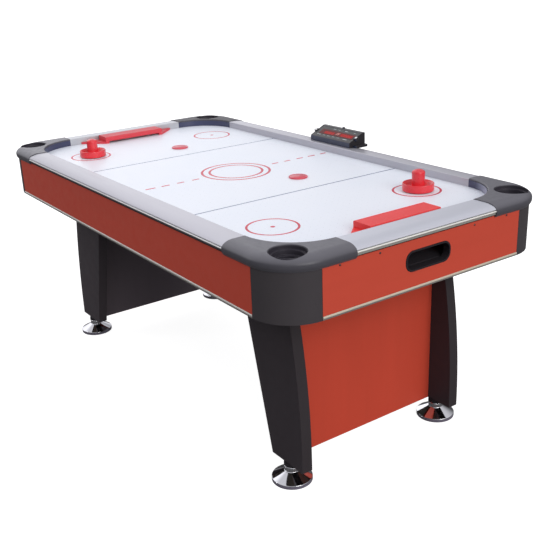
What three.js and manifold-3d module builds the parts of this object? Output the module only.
// Free-standing air hockey table: cabinet, rails, corner caps with cup holders, plank legs with
// end panels and levelling feet, air blower, goals with puck returns, scoreboard, playing pieces.
// Millimetres. X runs along the table (right is +X), Y across it (back is +Y), Z up from the floor.
// Parts are drawn about the cabinet's own centre; the whole is then shifted by MID_Y, so the
// origin is on the floor under the middle of the overall box, scoreboard included.
import * as THREE from 'three';
import { mergeVertices } from 'three/addons/utils/BufferGeometryUtils.js';
import Module from 'manifold-3d';

const wasm = await Module();
wasm.setup();

// ---------------------------------------------------------------- driving dimensions
const GAP = 0.3; // clearance between touching pieces
const OVER = 5; // how far a cutter runs past the face it opens

const CAB_X = 940; // half length over the aprons
const CAB_Y = 495; // half width over the aprons
const APRON_T = 18; // apron board thickness
const APRON_Z0 = 631.8; // apron lower edge, above the edge trim
const APRON_Z1 = 765.7; // apron upper edge, under the rails
const INNER_X = CAB_X - APRON_T - GAP; // room inside the end aprons
const INNER_Y = CAB_Y - APRON_T - GAP; // room inside the long aprons
const TRIM_Z0 = 621.3; // underside of the metal edge trim
const TRIM_PROUD = 2; // how far the trim stands out of the apron
const POST_R = 128; // outer radius of the corner posts
const POST_T = 10; // wall of the corner posts
const POST_X = CAB_X - POST_R; // post centre, where the long apron ends
const POST_Y = CAB_Y - POST_R; // post centre, where the end apron ends

const PLAY_Z = 772; // playing surface height
const PLAY_T = 12; // playfield board thickness
const PLAY_Z0 = PLAY_Z - PLAY_T; // underside of the playfield board
const PLAY_X = 859; // half length between the rail walls
const PLAY_Y = 424.5; // half width between the rail walls
const PLAY_R = 165; // corner radius of the playing area
const SEAM_X = PLAY_X - PLAY_R; // where a long rail meets a corner cap
const SEAM_Y = PLAY_Y - PLAY_R; // where an end rail meets a corner cap
const SEAM_GAP = 0.15; // each side's share of the clearance at a seam
const BOTTOM_Z0 = APRON_Z0 + GAP; // underside of the bottom board
const BOTTOM_Z1 = BOTTOM_Z0 + 12;

const RAIL_TOP = 798; // rail top height
const RAIL_OUT = 6.5; // rail overhang past the apron
const CAP_TOP = 800; // corner cap top height
const CAP_Z0 = 762; // corner cap lower edge
const CAP_OUT = 8; // cap overhang past the apron
const CAP_R = 138; // cap outer corner radius
const CAP_WALL = 4; // cap wall thickness
const CUP_X = 867; // cup holder centre
const CUP_Y = 416.5;
const CUP_RADII = [34, 41.5, 50]; // stepped cup holder, from the bottom up
const CUP_FLOORS = [760, 775, 788]; // floor height of each step

const LEG_Y = 304.5; // centre plane of a leg plank
const LEG_T = 36; // leg plank thickness
const LEG_Z0 = 61; // leg underside
const LEG_Z1 = 631.7; // leg top, under the bottom board
const FOOT_X = 701; // levelling foot centre
const FOOT_R = 63; // levelling foot radius
const STUD_R = 5; // threaded stud of a foot
const PANEL_X = 684; // outer face of an end panel
const PANEL_T = 15;

const GOAL_X = 784; // front of the goal hood
const GOAL_Y = 132.5; // half width of the goal hood
const GOAL_TOP = 799;
const GOAL_MOUTH = 9; // gap under the hood for the puck
const SLOT_Y = 84; // half width of the puck return mouth
const SLOT_Z = 706; // centre height of the mouth
const SLOT_H = 30; // half height of the mouth
const SLOT_R = 26; // corner radius of the mouth

const SWITCH_X = 600; // centre of the power panel on the back apron
const SWITCH_Z = 700;
const SCORE_X = -18; // scoreboard centre along the table
const SCORE_L = 230;
const SCORE_Y0 = 443; // scoreboard front
const SCORE_Y1 = 520; // scoreboard back
const MID_Y = (CAB_Y + CAP_OUT - SCORE_Y1) / 2; // cabinet centre plane, from the origin

const MALLET_R = 49.8;
const MALLET_H = 69;
const KNOB_R = 20.8;
const MALLETS = [['right', 617, 280], ['left', -603, -274]]; // name, x, y
const PUCK_R = 32.5;
const PUCK_T = 4.6;
const PUCKS = [[221.8, 108.1], [-488.8, 52.6]]; // x, y

// name, side along x, side along y
const QUADRANTS = [
  ['front_right', 1, -1], ['front_left', -1, -1], ['back_right', 1, 1], ['back_left', -1, 1],
];

// ---------------------------------------------------------------- solid modelling helpers
// positions only, with coincident corners merged
function bare(geometry) {
  const copy = geometry.clone();
  for (const name of Object.keys(copy.attributes)) {
    if (name !== 'position') copy.deleteAttribute(name);
  }
  return mergeVertices(copy, 1e-4);
}
function solid(geometry) {
  const merged = bare(geometry);
  return new wasm.Manifold(new wasm.Mesh({
    numProp: 3,
    vertProperties: new Float32Array(merged.attributes.position.array),
    triVerts: new Uint32Array(merged.index.array),
  }));
}
function indexed(positions, triangles) {
  const geometry = new THREE.BufferGeometry();
  geometry.setAttribute('position', new THREE.BufferAttribute(new Float32Array(positions), 3));
  geometry.setIndex(new THREE.BufferAttribute(new Uint32Array(triangles), 1));
  geometry.computeVertexNormals();
  return geometry;
}
function surface(manifold) {
  const mesh = manifold.getMesh();
  return indexed(mesh.vertProperties, mesh.triVerts);
}
const cut = (first, ...others) => surface(others.reduce((m, b) => m.subtract(solid(b)), solid(first)));
const join = (first, ...others) => surface(others.reduce((m, b) => m.add(solid(b)), solid(first)));
const common = (first, second) => surface(solid(first).intersect(solid(second)));

// copy of a geometry mirrored to another quadrant, with its winding kept outwards
function mirror(geometry, sideX, sideY) {
  const copy = bare(geometry);
  copy.scale(sideX, sideY, 1);
  if (sideX * sideY < 0) {
    const index = copy.index.array;
    for (let i = 0; i < index.length; i += 3) {
      [index[i + 1], index[i + 2]] = [index[i + 2], index[i + 1]];
    }
  }
  copy.computeVertexNormals();
  return copy;
}

// ---------------------------------------------------------------- shape helpers
function extrude(points, depth) {
  const shape = new THREE.Shape(points.map(([x, y]) => new THREE.Vector2(x, y)));
  return new THREE.ExtrudeGeometry(shape, { depth, bevelEnabled: false });
}
// outline in (x, y), run along z
function prismZ(points, z0, z1) {
  return extrude(points, z1 - z0).translate(0, 0, z0);
}
// outline in (y, z), run along x
function prismX(points, x0, x1) {
  const axes = new THREE.Matrix4().makeBasis(
    new THREE.Vector3(0, 1, 0), new THREE.Vector3(0, 0, 1), new THREE.Vector3(1, 0, 0),
  );
  return extrude(points, x1 - x0).applyMatrix4(axes).translate(x0, 0, 0);
}
// outline in (x, z), run along y
function prismY(points, y0, y1) {
  const axes = new THREE.Matrix4().makeBasis(
    new THREE.Vector3(1, 0, 0), new THREE.Vector3(0, 0, 1), new THREE.Vector3(0, -1, 0),
  );
  return extrude(points, y1 - y0).applyMatrix4(axes).translate(0, y1, 0);
}
function box(x0, x1, y0, y1, z0, z1) {
  return new THREE.BoxGeometry(x1 - x0, y1 - y0, z1 - z0)
    .translate((x0 + x1) / 2, (y0 + y1) / 2, (z0 + z1) / 2);
}
function cylinderZ(radius, z0, z1, segments, x = 0, y = 0) {
  return new THREE.CylinderGeometry(radius, radius, z1 - z0, segments)
    .rotateX(Math.PI / 2)
    .translate(x, y, (z0 + z1) / 2);
}
// solid of revolution about its own Y, from [radius, height] pairs
function spin(profile, segments) {
  return new THREE.LatheGeometry(profile.map(([r, h]) => new THREE.Vector2(r, h)), segments);
}
// the same, stood up about Z
function lathe(profile, segments, x = 0, y = 0) {
  return spin(profile, segments).rotateX(Math.PI / 2).translate(x, y, 0);
}
// outline or profile points with their second value raised
const lift = (points, rise) => points.map(([u, v]) => [u, v + rise]);
// points on an arc, angles in degrees
function arc(x, y, radius, from, to, steps) {
  const points = [];
  for (let i = 0; i <= steps; i++) {
    const angle = ((from + ((to - from) * i) / steps) * Math.PI) / 180;
    points.push([x + radius * Math.cos(angle), y + radius * Math.sin(angle)]);
  }
  return points;
}
function roundedRect(halfX, halfY, radius, steps) {
  const x = halfX - radius;
  const y = halfY - radius;
  return [
    ...arc(x, y, radius, 0, 90, steps), ...arc(-x, y, radius, 90, 180, steps),
    ...arc(-x, -y, radius, 180, 270, steps), ...arc(x, -y, radius, 270, 360, steps),
  ];
}
// solid through a stack of { z, points } levels with the same number of points
function loft(levels) {
  const count = levels[0].points.length;
  let area = 0;
  levels[0].points.forEach(([x, y], i) => {
    const [nextX, nextY] = levels[0].points[(i + 1) % count];
    area += x * nextY - nextX * y;
  });
  const rings = levels.map(({ z, points }) => (
    (area < 0 ? [...points].reverse() : points).map(([x, y]) => [x, y, z])
  ));
  const triangles = [];
  for (let k = 0; k + 1 < rings.length; k++) {
    for (let i = 0; i < count; i++) {
      const a = k * count + i;
      const b = k * count + ((i + 1) % count);
      triangles.push(a, b, b + count, a, b + count, a + count);
    }
  }
  const fill = (ring) => (
    THREE.ShapeUtils.triangulateShape(ring.map(([x, y]) => new THREE.Vector2(x, y)), [])
  );
  for (const [a, b, c] of fill(rings[0])) triangles.push(a, c, b);
  const top = (rings.length - 1) * count;
  for (const [a, b, c] of fill(rings.at(-1))) triangles.push(top + a, top + b, top + c);
  return indexed(rings.flat(2), triangles);
}

// ---------------------------------------------------------------- materials and groups
const finishes = {
  red_laminate: { color: 0xb5432f, roughness: 0.45, metalness: 0 },
  silver: { color: 0xc3c5cd, roughness: 0.35, metalness: 0.7 },
  trim_metal: { color: 0xbdb9ac, roughness: 0.3, metalness: 0.9 },
  black_plastic: { color: 0x35343a, roughness: 0.5, metalness: 0 },
  cap_plastic: { color: 0x5d5f6a, roughness: 0.45, metalness: 0 },
  black_laminate: { color: 0x2a272a, roughness: 0.55, metalness: 0 },
  white_surface: { color: 0xeaf0fb, roughness: 0.25, metalness: 0 },
  board: { color: 0xa88c66, roughness: 0.8, metalness: 0 },
  chrome: { color: 0xd8d8dc, roughness: 0.08, metalness: 1 },
  red_plastic: { color: 0xdc3f42, roughness: 0.25, metalness: 0 },
  felt: { color: 0x2c2c2c, roughness: 0.95, metalness: 0 },
  puck_red: { color: 0xc8414f, roughness: 0.35, metalness: 0 },
  steel: { color: 0x77777a, roughness: 0.35, metalness: 0.9 },
  lens_red: { color: 0x7a1410, roughness: 0.1, metalness: 0 },
};
const group = new THREE.Group();
const cabinet = new THREE.Group();
const base = new THREE.Group();
const air = new THREE.Group();
const electronics = new THREE.Group();
const pieces = new THREE.Group();
group.add(cabinet, base, air, electronics, pieces);
group.position.y = MID_Y;

function part(parent, name, finish, geometry, position = [0, 0, 0], turn = 0) {
  const mesh = new THREE.Mesh(geometry, new THREE.MeshStandardMaterial(finishes[finish]));
  mesh.name = name;
  mesh.position.set(...position);
  mesh.rotation.z = turn;
  parent.add(mesh);
  return mesh;
}
// cabinet part drawn at the right end, with its mirror image at the left
function endPair(name, finish, geometry) {
  part(cabinet, `${name}_right`, finish, mirror(geometry, 1, 1));
  part(cabinet, `${name}_left`, finish, mirror(geometry, -1, 1));
}

// ---------------------------------------------------------------- boards
const BOARD_R = 230; // playfield board corner radius
const CUP_HOLE_R = 42; // hole in the playfield board under each cup holder
const DROP_Y = 112; // half width of the slot a puck drops through

const dropSlot = box(GOAL_X + 30, PLAY_X - 2.5, -DROP_Y, DROP_Y, PLAY_Z0 - OVER, PLAY_Z + OVER);
part(cabinet, 'playfield_board', 'white_surface', cut(
  prismZ(roundedRect(INNER_X, INNER_Y, BOARD_R, 8), PLAY_Z0, PLAY_Z),
  ...QUADRANTS.map(([, sideX, sideY]) => (
    cylinderZ(CUP_HOLE_R, PLAY_Z0 - OVER, PLAY_Z + OVER, 16, sideX * CUP_X, sideY * CUP_Y)
  )),
  dropSlot,
  mirror(dropSlot, -1, 1),
));
part(cabinet, 'bottom_board', 'board', cut(
  prismZ(roundedRect(INNER_X, INNER_Y, 180, 6), BOTTOM_Z0, BOTTOM_Z1),
  cylinderZ(52, BOTTOM_Z0 - OVER, BOTTOM_Z1 + OVER, 20), // air intake
));

// ---------------------------------------------------------------- aprons
const SWITCH_HOLE = [31, 13]; // half width and half height of the power panel opening
const SCREW_Y = [-311, -177, 177, 311];
const SCREW_Z = 757;
const SCREW_HOLE_R = 1.9;

part(cabinet, 'long_apron_front', 'red_laminate',
  box(-POST_X, POST_X, -CAB_Y, -CAB_Y + APRON_T, APRON_Z0, APRON_Z1));
part(cabinet, 'long_apron_back', 'red_laminate', cut(
  box(-POST_X, POST_X, CAB_Y - APRON_T, CAB_Y, APRON_Z0, APRON_Z1),
  box(
    SWITCH_X - SWITCH_HOLE[0], SWITCH_X + SWITCH_HOLE[0],
    CAB_Y - APRON_T - OVER, CAB_Y + OVER,
    SWITCH_Z - SWITCH_HOLE[1], SWITCH_Z + SWITCH_HOLE[1],
  ),
));

// outline of the puck return mouth in (y, z), grown or shrunk all round
const mouth = (grow) => lift(roundedRect(SLOT_Y + grow, SLOT_H + grow, SLOT_R + grow, 5), SLOT_Z);
const screwHole = (y) => new THREE.CylinderGeometry(SCREW_HOLE_R, SCREW_HOLE_R, 60, 8)
  .rotateZ(Math.PI / 2)
  .translate(CAB_X - 20, y, SCREW_Z);
endPair('end_apron', 'red_laminate', cut(
  box(CAB_X - APRON_T, CAB_X, -POST_Y, POST_Y, APRON_Z0, APRON_Z1),
  prismX(mouth(GAP), CAB_X - 40, CAB_X + 20),
  ...SCREW_Y.map(screwHole),
));

// pan-head screw along +X, head outwards, as [radius, distance out of the apron face]
const screwProfile = [[0, -24], [1.5, -21], [1.5, GAP], [3, GAP], [2.4, 1.7], [0, 2]];
const screw = spin(screwProfile, 8).rotateZ(-Math.PI / 2);
SCREW_Y.forEach((y, i) => {
  part(cabinet, `apron_screw_right_${i + 1}`, 'steel', screw, [CAB_X, y, SCREW_Z]);
  part(cabinet, `apron_screw_left_${i + 1}`, 'steel', screw, [-CAB_X, y, SCREW_Z], Math.PI);
});

// ---------------------------------------------------------------- edge trims
// section as [outwards, up]: a proud nose with a shallow groove in its face
function trimSection(edge) {
  const nose = edge + TRIM_PROUD;
  const top = APRON_Z0 - GAP;
  return [
    [edge - APRON_T, TRIM_Z0 + 3], [edge - 4, TRIM_Z0], [nose - 1.2, TRIM_Z0],
    [nose, TRIM_Z0 + 1.4], [nose, TRIM_Z0 + 4.4], [nose - 1, TRIM_Z0 + 5.1],
    [nose, TRIM_Z0 + 5.8], [nose, top - 1.6], [nose - 1.4, top], [edge - APRON_T, top],
  ];
}
const longTrim = prismX(trimSection(CAB_Y), -POST_X, POST_X);
part(cabinet, 'edge_trim_back', 'trim_metal', longTrim);
part(cabinet, 'edge_trim_front', 'trim_metal', mirror(longTrim, 1, -1));
endPair('edge_trim', 'trim_metal', prismY(trimSection(CAB_X), -POST_Y, POST_Y));

// ---------------------------------------------------------------- rails
// open-bottomed section as [outwards from the playing area, up];
// reach is the distance from the rail wall to the apron face
function railSection(reach) {
  const out = reach + RAIL_OUT;
  const lip = reach - APRON_T + GAP; // where the flange over the apron ends
  const seat = PLAY_Z + GAP;
  const shoulder = { width: 44, drop: 18, steps: 5, stepAngle: 16.6 };
  const roof = [];
  for (let i = 0; i <= shoulder.steps; i++) {
    const angle = ((90 - i * shoulder.stepAngle) * Math.PI) / 180;
    roof.push([
      out - 1 - shoulder.width * (1 - Math.cos(angle)),
      RAIL_TOP - shoulder.drop * (1 - Math.sin(angle)),
    ]);
  }
  const underRoof = roof.map(([u, v]) => [u - 2.4, v - 3.2]).reverse();
  return [
    [0, seat], [0, RAIL_TOP - 2], [0.7, RAIL_TOP - 0.6], [2.2, RAIL_TOP],
    ...roof,
    [out, RAIL_TOP - 17.4], [out + 0.6, RAIL_TOP - 19], [out, RAIL_TOP - 20.6],
    [out - 2, RAIL_TOP - 21.2], [out - 2, RAIL_TOP - 23.4], [out - 0.6, RAIL_TOP - 24.2],
    [out - 0.6, RAIL_TOP - 30], [out - 2, RAIL_TOP - 31.7],
    [lip, RAIL_TOP - 31.7], [lip, RAIL_TOP - 28.7], [out - 5, RAIL_TOP - 28.7],
    ...underRoof,
    [3, RAIL_TOP - 3.4], [3, seat + 3], [lip - 12, seat + 3], [lip - 12, seat],
  ];
}
const longRail = prismX(railSection(CAB_Y - PLAY_Y), -SEAM_X + SEAM_GAP, SEAM_X - SEAM_GAP)
  .translate(0, PLAY_Y, 0);
part(cabinet, 'long_rail_back', 'silver', mirror(longRail, 1, 1));
part(cabinet, 'long_rail_front', 'silver', mirror(longRail, 1, -1));
const endRail = prismY(railSection(CAB_X - PLAY_X), -SEAM_Y + SEAM_GAP, SEAM_Y - SEAM_GAP)
  .translate(PLAY_X, 0, 0);
endPair('end_rail', 'silver', endRail);

// ---------------------------------------------------------------- corner posts
// quarter-round wall with a tongue lapping behind each apron
function cornerPost() {
  const joint = 0.2; // clearance to the apron ends
  const lap = 18;
  const tongue = 5; // tongue thickness
  const root = 6; // from the post centre to where a tongue meets the wall
  const innerR = POST_R - POST_T;
  const rootAngle = (Math.asin(root / innerR) * 180) / Math.PI;
  return prismZ([
    [CAB_X, POST_Y + joint],
    ...arc(POST_X, POST_Y, POST_R, 3, 87, 8),
    [POST_X + joint, CAB_Y], [POST_X + joint, INNER_Y], [POST_X - lap, INNER_Y],
    [POST_X - lap, INNER_Y - tongue], [POST_X + root, INNER_Y - tongue],
    ...arc(POST_X, POST_Y, innerR, 90 - rootAngle, rootAngle, 7),
    [INNER_X - tongue, POST_Y + root], [INNER_X - tongue, POST_Y - lap],
    [INNER_X, POST_Y - lap], [INNER_X, POST_Y + joint],
  ], TRIM_Z0, APRON_Z1);
}

// ---------------------------------------------------------------- corner caps with cup holders
// plan of the cap: inset moves the outer edge in, wall moves the seams and the inner arc
function capOutline(inset, wall) {
  const outerX = CAB_X + CAP_OUT;
  const outerY = CAB_Y + CAP_OUT;
  const trim = 0.06 + wall * 1.4; // degrees taken off each end of the inner arc
  return [
    [SEAM_X + SEAM_GAP + wall, outerY - inset],
    ...arc(outerX - CAP_R, outerY - CAP_R, CAP_R - inset, 90, 0, 7),
    [outerX - inset, SEAM_Y + SEAM_GAP + wall],
    ...arc(SEAM_X, SEAM_Y, PLAY_R + wall, trim, 90 - trim, 8),
  ];
}
// flared skirt below a rounded shoulder; wall 0 is the outside, CAP_WALL the hollow
function capForm(wall) {
  const shoulder = { height: 20.5, width: 38 };
  const level = (z, inset) => ({ z, points: capOutline(inset, wall) });
  const levels = [level(CAP_Z0 - wall, 5 + wall), level(CAP_Z0 + 9, 0.2 + wall)];
  for (let degrees = 0; degrees <= 90; degrees += 22.5) {
    const angle = (degrees * Math.PI) / 180;
    levels.push(level(
      CAP_TOP - shoulder.height + (shoulder.height - wall) * Math.sin(angle),
      wall + shoulder.width * (1 - Math.cos(angle)),
    ));
  }
  return loft(levels);
}
function steppedCup(radii, floors, top) {
  const steps = radii.flatMap((r, i) => [[r, floors[i]], [r, floors[i + 1] ?? top]]);
  return lathe([[0, floors[0]], ...steps, [0, top]], 20, CUP_X, CUP_Y);
}
function cornerCap() {
  const body = capForm(0);
  const roomZ0 = PLAY_Z - 30; // the rooms clear the board, aprons and posts under the cap
  const boardRoom = prismZ(
    roundedRect(INNER_X + 0.6, INNER_Y + 0.6, BOARD_R, 8), roomZ0, PLAY_Z + GAP,
  );
  const cornerRoom = prismZ(
    roundedRect(CAB_X + GAP, CAB_Y + GAP, POST_R + GAP, 16), roomZ0, APRON_Z1 + GAP,
  );
  const floorT = [3, 2.4, 3]; // thickness under each cup step
  const tubRadii = CUP_RADII.map((r) => r + 4);
  const tubFloors = CUP_FLOORS.map((z, i) => z - floorT[i]);
  const tub = steppedCup(tubRadii, tubFloors, CAP_TOP + 2);
  // the lowest step hangs below the cap body, so it is added whole
  const tubLow = cylinderZ(tubRadii[0], tubFloors[0], tubFloors[1], 20, CUP_X, CUP_Y);
  const bore = steppedCup(CUP_RADII, CUP_FLOORS, CAP_TOP + OVER);
  const shell = cut(body, capForm(CAP_WALL), boardRoom, cornerRoom);
  return cut(join(shell, common(tub, body), tubLow), bore);
}
const post = cornerPost();
const cap = cornerCap();
for (const [where, sideX, sideY] of QUADRANTS) {
  part(cabinet, `corner_post_${where}`, 'black_plastic', mirror(post, sideX, sideY));
  part(cabinet, `corner_cap_${where}`, 'cap_plastic', mirror(cap, sideX, sideY));
}

// ---------------------------------------------------------------- goals
// bent hood with solid ends, and a low tapered wing on each side
function goalCover() {
  const rear = PLAY_X - GAP;
  const seat = PLAY_Z + GAP;
  const lip = PLAY_Z + GOAL_MOUTH;
  const endY = 118; // inner face of a hood end
  const nose = [[GOAL_X, GOAL_TOP - 5], [GOAL_X + 1.5, GOAL_TOP - 1.5], [GOAL_X + 5, GOAL_TOP]];
  const hood = [
    [GOAL_X, lip], ...nose, [rear, GOAL_TOP], [rear, GOAL_TOP - 3],
    [GOAL_X + 6, GOAL_TOP - 3], [GOAL_X + 3, GOAL_TOP - 6], [GOAL_X + 3, lip],
  ];
  const hoodEnd = [[GOAL_X, seat], [rear, seat], [rear, GOAL_TOP], ...[...nose].reverse()];
  const wing = prismZ([
    [GOAL_X + 1, endY], [rear, endY], [rear, 212], [rear - 3, 212], [GOAL_X + 1, 133.5],
  ], seat, PLAY_Z + 8);
  return join(
    prismY(hood, -GOAL_Y + 1, GOAL_Y - 1),
    prismY(hoodEnd, endY, GOAL_Y),
    prismY(hoodEnd, -GOAL_Y, -endY),
    wing,
    mirror(wing, 1, -1),
  );
}
endPair('goal_cover', 'red_plastic', goalCover());

// open-topped box with a sloping floor under the drop slot, and a sleeve through the apron
function puckReturnBox() {
  const x0 = GOAL_X;
  const x1 = INNER_X;
  const halfY = 121;
  const wall = 3;
  const top = PLAY_Z0 - GAP;
  const outside = [[x0, 706], [x1, 673], [x1, top], [x0, top]];
  const inside = [[x0 + wall, 709.5], [x1 - wall, 682], [x1 - wall, 790], [x0 + wall, 790]];
  const boreShape = lift(roundedRect(SLOT_Y - 5, SLOT_H - 5, SLOT_R - 4.5, 5), SLOT_Z);
  return cut(
    join(prismY(outside, -halfY, halfY), prismX(mouth(0), x1 - 4, CAB_X + 1.5)),
    prismY(inside, -halfY + wall, halfY - wall),
    prismX(boreShape, x1 - 10, CAB_X + 20),
  );
}
endPair('puck_return_box', 'black_plastic', puckReturnBox());

// ---------------------------------------------------------------- legs, end panels, feet
// plank in (x, z): outer edge straight up to bendZ, then curving inwards; inner edge sloping
function legPlank() {
  const bendZ = 94;
  const outerX = (z) => 778.3 - 2.2553e-4 * Math.max(0, z - bendZ) ** 2;
  const outer = [LEG_Z0, bendZ, 180, 260, 340, 420, 500, 570, LEG_Z1].map((z) => [outerX(z), z]);
  const innerTopX = 490 - (LEG_Z1 - TRIM_Z0) * 0.24516;
  return cut(
    prismY([[627.3, LEG_Z0], ...outer, [innerTopX, LEG_Z1]], LEG_Y - LEG_T / 2, LEG_Y + LEG_T / 2),
    cylinderZ(STUD_R + GAP, LEG_Z0 - OVER, LEG_Z0 + 46, 12, FOOT_X, LEG_Y),
  );
}
const leg = legPlank();
for (const [where, sideX, sideY] of QUADRANTS) {
  part(base, `leg_${where}`, 'black_laminate', mirror(leg, sideX, sideY));
}
const panelY = LEG_Y - LEG_T / 2 - GAP; // the panels stand between the planks
part(base, 'end_panel_right', 'red_laminate',
  box(PANEL_X - PANEL_T, PANEL_X, -panelY, panelY, LEG_Z0 + 1, LEG_Z1));
part(base, 'end_panel_left', 'red_laminate',
  box(-PANEL_X, -PANEL_X + PANEL_T, -panelY, panelY, LEG_Z0 + 1, LEG_Z1));

// foot: round base band, cone, neck and collar, with its threaded stud
const foot = lathe([
  [0, 0], [FOOT_R - 1, 0], [FOOT_R, 1.5], [FOOT_R, 8.5], [FOOT_R - 2.5, 11],
  [24.5, 27], [22.5, 31], [22.5, 47], [24.5, 50], [24.5, LEG_Z0 - 0.5],
  [STUD_R, LEG_Z0 - 0.5], [STUD_R, 98], [0, 100],
], 24);
for (const [where, sideX, sideY] of QUADRANTS) {
  part(base, `levelling_foot_${where}`, 'chrome', foot, [sideX * FOOT_X, sideY * LEG_Y, 0]);
}

// ---------------------------------------------------------------- air supply
const TRAY_X = 770; // half size of the air chamber
const TRAY_Y = 440;
const TRAY_T = 9; // its wall and floor
const TRAY_Z0 = 690;
const BLOWER_Z = BOTTOM_Z1 + GAP; // blower housing base

const trayX = TRAY_X - TRAY_T;
const trayY = TRAY_Y - TRAY_T;
part(air, 'air_chamber', 'board', cut(
  box(-TRAY_X, TRAY_X, -TRAY_Y, TRAY_Y, TRAY_Z0, PLAY_Z0 - GAP),
  box(-trayX, trayX, -trayY, trayY, TRAY_Z0 + TRAY_T, PLAY_Z),
  cylinderZ(70, TRAY_Z0 - OVER, TRAY_Z0 + 20, 20),
));

// the blower's profiles are [radius, height above BLOWER_Z]
const blowerLathe = (profile, segments) => lathe(lift(profile, BLOWER_Z), segments);

// open-topped drum with a spoked guard in its floor
function blowerHousing() {
  const wallTop = TRAY_Z0 - GAP - BLOWER_Z;
  const floorT = 3;
  const floorZ = BLOWER_Z + floorT;
  const drum = [
    [50, 0], [100, 0], [100, wallTop], [96, wallTop], [96, floorT], [50, floorT], [50, 0],
  ];
  const guardRing = [[34, 0], [37, 0], [37, floorT], [34, floorT], [34, 0]];
  const spokes = [0, 60, 120].map((degrees) => (
    box(-52, 52, -2.5, 2.5, BLOWER_Z, floorZ).rotateZ((degrees * Math.PI) / 180)
  ));
  return join(
    blowerLathe(drum, 24),
    ...spokes,
    cylinderZ(26, BLOWER_Z, floorZ, 16),
    blowerLathe(guardRing, 16),
  );
}
part(air, 'blower_housing', 'black_plastic', blowerHousing());
part(air, 'blower_motor', 'steel', cut(
  blowerLathe([
    [0, 3 + GAP], [22, 3 + GAP], [24, 5.5], [24, 21], [21, 23], [8, 23], [8, 25], [0, 25],
  ], 16),
  cylinderZ(3 + GAP, BLOWER_Z + 9, BLOWER_Z + 40, 12), // shaft hole
));

// shaft, disc and hub in one turning, with radial blades on the disc
function blowerImpeller() {
  const bladeCount = 12;
  const blades = [];
  for (let i = 0; i < bladeCount; i++) {
    const blade = box(52, 86, -1.2, 1.2, BLOWER_Z + 30.5, BLOWER_Z + 41);
    blades.push(blade.rotateZ((i * 2 * Math.PI) / bladeCount));
  }
  return join(
    blowerLathe([
      [0, 10], [3, 10], [3, 26], [12, 26], [12, 28.5], [88, 28.5], [88, 31],
      [14, 31], [12, 38], [0, 39],
    ], 20),
    ...blades,
  );
}
part(air, 'blower_impeller', 'black_plastic', blowerImpeller());

// ---------------------------------------------------------------- scoreboard
const SCORE_Z0 = RAIL_TOP + GAP; // stands on the back rail
const FACE_LOW = [SCORE_Y0 + 2.5, SCORE_Z0 + 20.5]; // sloping face in (y, z), front edge
const FACE_HIGH = [SCORE_Y1 - 12, SCORE_Z0 + 50]; // and back edge
const LENS = { x: 200, y: 48, z: 2.5, clearance: 0.4, sunk: 0.1 };
const BUTTON_X = SCORE_X + 1;
const BUTTON_Y = SCORE_Y1 - 6.5;
const slope = Math.atan2(FACE_HIGH[1] - FACE_LOW[1], FACE_HIGH[0] - FACE_LOW[0]);
const faceY = (FACE_LOW[0] + FACE_HIGH[0]) / 2;
const faceZ = (FACE_LOW[1] + FACE_HIGH[1]) / 2;

// wedge body with a foot at each end, a lens pocket and a hollow underside
function scoreboardHousing() {
  const x0 = SCORE_X - SCORE_L / 2;
  const x1 = SCORE_X + SCORE_L / 2;
  const section = [
    [SCORE_Y0, SCORE_Z0], [SCORE_Y1, SCORE_Z0], [SCORE_Y1, SCORE_Z0 + 48],
    [SCORE_Y1 - 2, SCORE_Z0 + 50], FACE_HIGH, FACE_LOW, [SCORE_Y0, SCORE_Z0 + 18],
  ];
  const endFoot = (from, to) => box(from, to, SCORE_Y0 + 18, SCORE_Y1 - 3, SCORE_Z0, SCORE_Z0 + 7);
  const pocketX = LENS.x / 2 + LENS.clearance;
  const pocketY = LENS.y / 2 + LENS.clearance;
  const pocket = box(-pocketX, pocketX, -pocketY, pocketY, -3, 10)
    .rotateX(slope)
    .translate(SCORE_X, faceY, faceZ);
  return cut(
    join(prismX(section, x0, x1), endFoot(x0 - 20, x0 + 5), endFoot(x1 - 5, x1 + 20)),
    pocket,
    box(x0 + 6, x1 - 6, SCORE_Y0 + 6, SCORE_Y1 - 6, SCORE_Z0 - OVER, SCORE_Z0 + 12),
    cylinderZ(3.8, SCORE_Z0 + 38, SCORE_Z0 + 60, 12, BUTTON_X, BUTTON_Y),
  );
}
part(electronics, 'scoreboard_housing', 'black_plastic', scoreboardHousing());
const lensDepth = LENS.z / 2 + LENS.sunk; // lens centre below the sloping face
const lens = part(electronics, 'scoreboard_lens', 'lens_red',
  new THREE.BoxGeometry(LENS.x, LENS.y, LENS.z),
  [SCORE_X, faceY + Math.sin(slope) * lensDepth, faceZ - Math.cos(slope) * lensDepth]);
lens.rotation.x = slope;
part(electronics, 'scoreboard_button', 'black_plastic',
  lathe([[0, 0], [3.5, 0], [3.5, 11], [2.6, 12], [0, 12.2]], 12),
  [BUTTON_X, BUTTON_Y, SCORE_Z0 + 40.5]);

// ---------------------------------------------------------------- power panel
const PLATE_Y = CAB_Y + GAP; // the plate sits on the back apron's face
const ROCKER_X = SWITCH_X - 15; // rocker pivot
const ROCKER_Y = PLATE_Y + 2.5;

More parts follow.
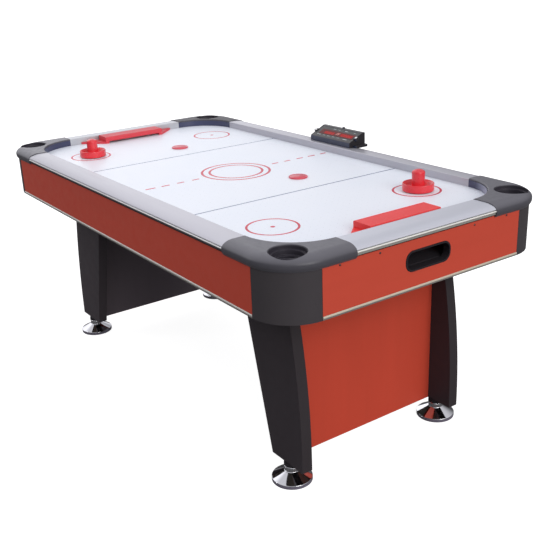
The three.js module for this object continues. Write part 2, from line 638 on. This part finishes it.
// box centred on (x, SWITCH_Z) in the plane of the back apron
const switchBox = (x, halfX, halfZ, y0, y1) => (
  box(x - halfX, x + halfX, y0, y1, SWITCH_Z - halfZ, SWITCH_Z + halfZ)
);
part(electronics, 'power_panel', 'black_plastic', cut(
  join(
    switchBox(SWITCH_X, 37, 18, PLATE_Y, PLATE_Y + 3),
    switchBox(SWITCH_X, SWITCH_HOLE[0] - 1, SWITCH_HOLE[1] - 1, CAB_Y - 16, PLATE_Y + 0.5),
  ),
  switchBox(ROCKER_X, 10.6, 6.5, PLATE_Y - 6, PLATE_Y + 10),
  // round recess beside the rocker
  new THREE.CylinderGeometry(5.5, 5.5, 14, 12).translate(SWITCH_X + 15, PLATE_Y, SWITCH_Z),
));
const rocker = prismZ([[-9.6, -1.5], [9.6, -1.5], [9.9, 2.4], [0, 1.3], [-9.9, 2.4]], -6.2, 6.2);
part(electronics, 'power_rocker', 'red_plastic', rocker,
  [ROCKER_X, ROCKER_Y, SWITCH_Z], (-8 * Math.PI) / 180);

// ---------------------------------------------------------------- mallets and pucks
const MALLET_Z0 = 2.2; // mallet body starts above its felt pad
const mallet = lathe([
  [0, MALLET_Z0], [MALLET_R - 1.5, MALLET_Z0], [MALLET_R, MALLET_Z0 + 2], [MALLET_R, 22.5],
  [MALLET_R - 3.5, 26.5], [MALLET_R - 12, 17], [KNOB_R + 3, 15], [KNOB_R - 1.5, 33],
  [KNOB_R, 54], [KNOB_R - 5, 65.5], [0, MALLET_H],
], 24);
const felt = cylinderZ(MALLET_R - 3, GAP, MALLET_Z0 - GAP, 20);
for (const [where, x, y] of MALLETS) {
  part(pieces, `mallet_${where}`, 'red_plastic', mallet, [x, y, PLAY_Z]);
  part(pieces, `mallet_felt_${where}`, 'felt', felt, [x, y, PLAY_Z]);
}
const puck = lathe([
  [0, GAP], [PUCK_R - 1, GAP], [PUCK_R, GAP + 1],
  [PUCK_R, PUCK_T - 1], [PUCK_R - 1, PUCK_T], [0, PUCK_T],
], 24);
PUCKS.forEach(([x, y], i) => part(pieces, `puck_${i + 1}`, 'puck_red', puck, [x, y, PLAY_Z]));

export default group;
